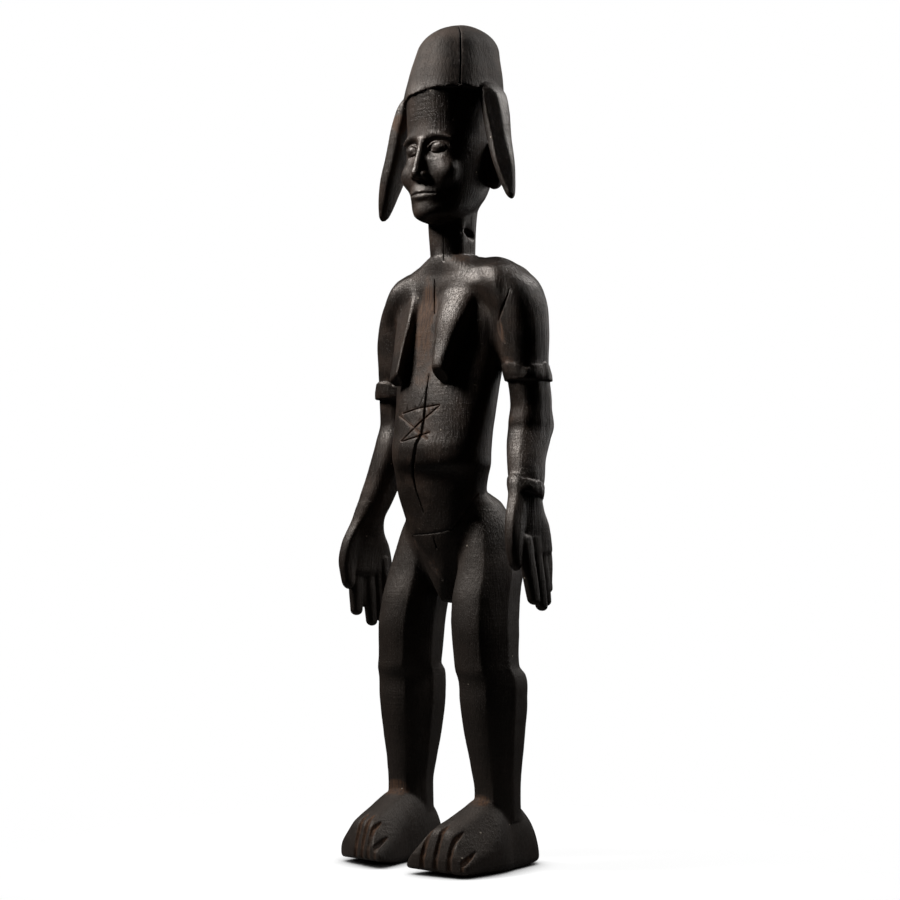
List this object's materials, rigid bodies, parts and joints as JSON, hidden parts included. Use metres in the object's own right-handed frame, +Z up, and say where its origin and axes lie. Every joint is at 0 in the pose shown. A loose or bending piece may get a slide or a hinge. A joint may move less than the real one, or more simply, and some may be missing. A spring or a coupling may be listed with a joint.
{
  "type": "ancestor figure",
  "caption": "Standing carved wooden female figure with a tall domed hat, side lappets, long arms with bands and broad flat feet; stands on its soles.",
  "frame": {"origin": "on the floor, under the middle of the figure's box", "axes": "+Z up from the soles to the hat, the figure faces -Y and its left hand is on +X"},
  "size_m": [0.3202, 0.183, 1.1],
  "materials": {
    "wood": "near-black brown patina, satin where worn, with bare brown wood in the recesses"
  },
  "bodies": {
    "root": {"figure": "wood"}
  },
  "joints": []
}
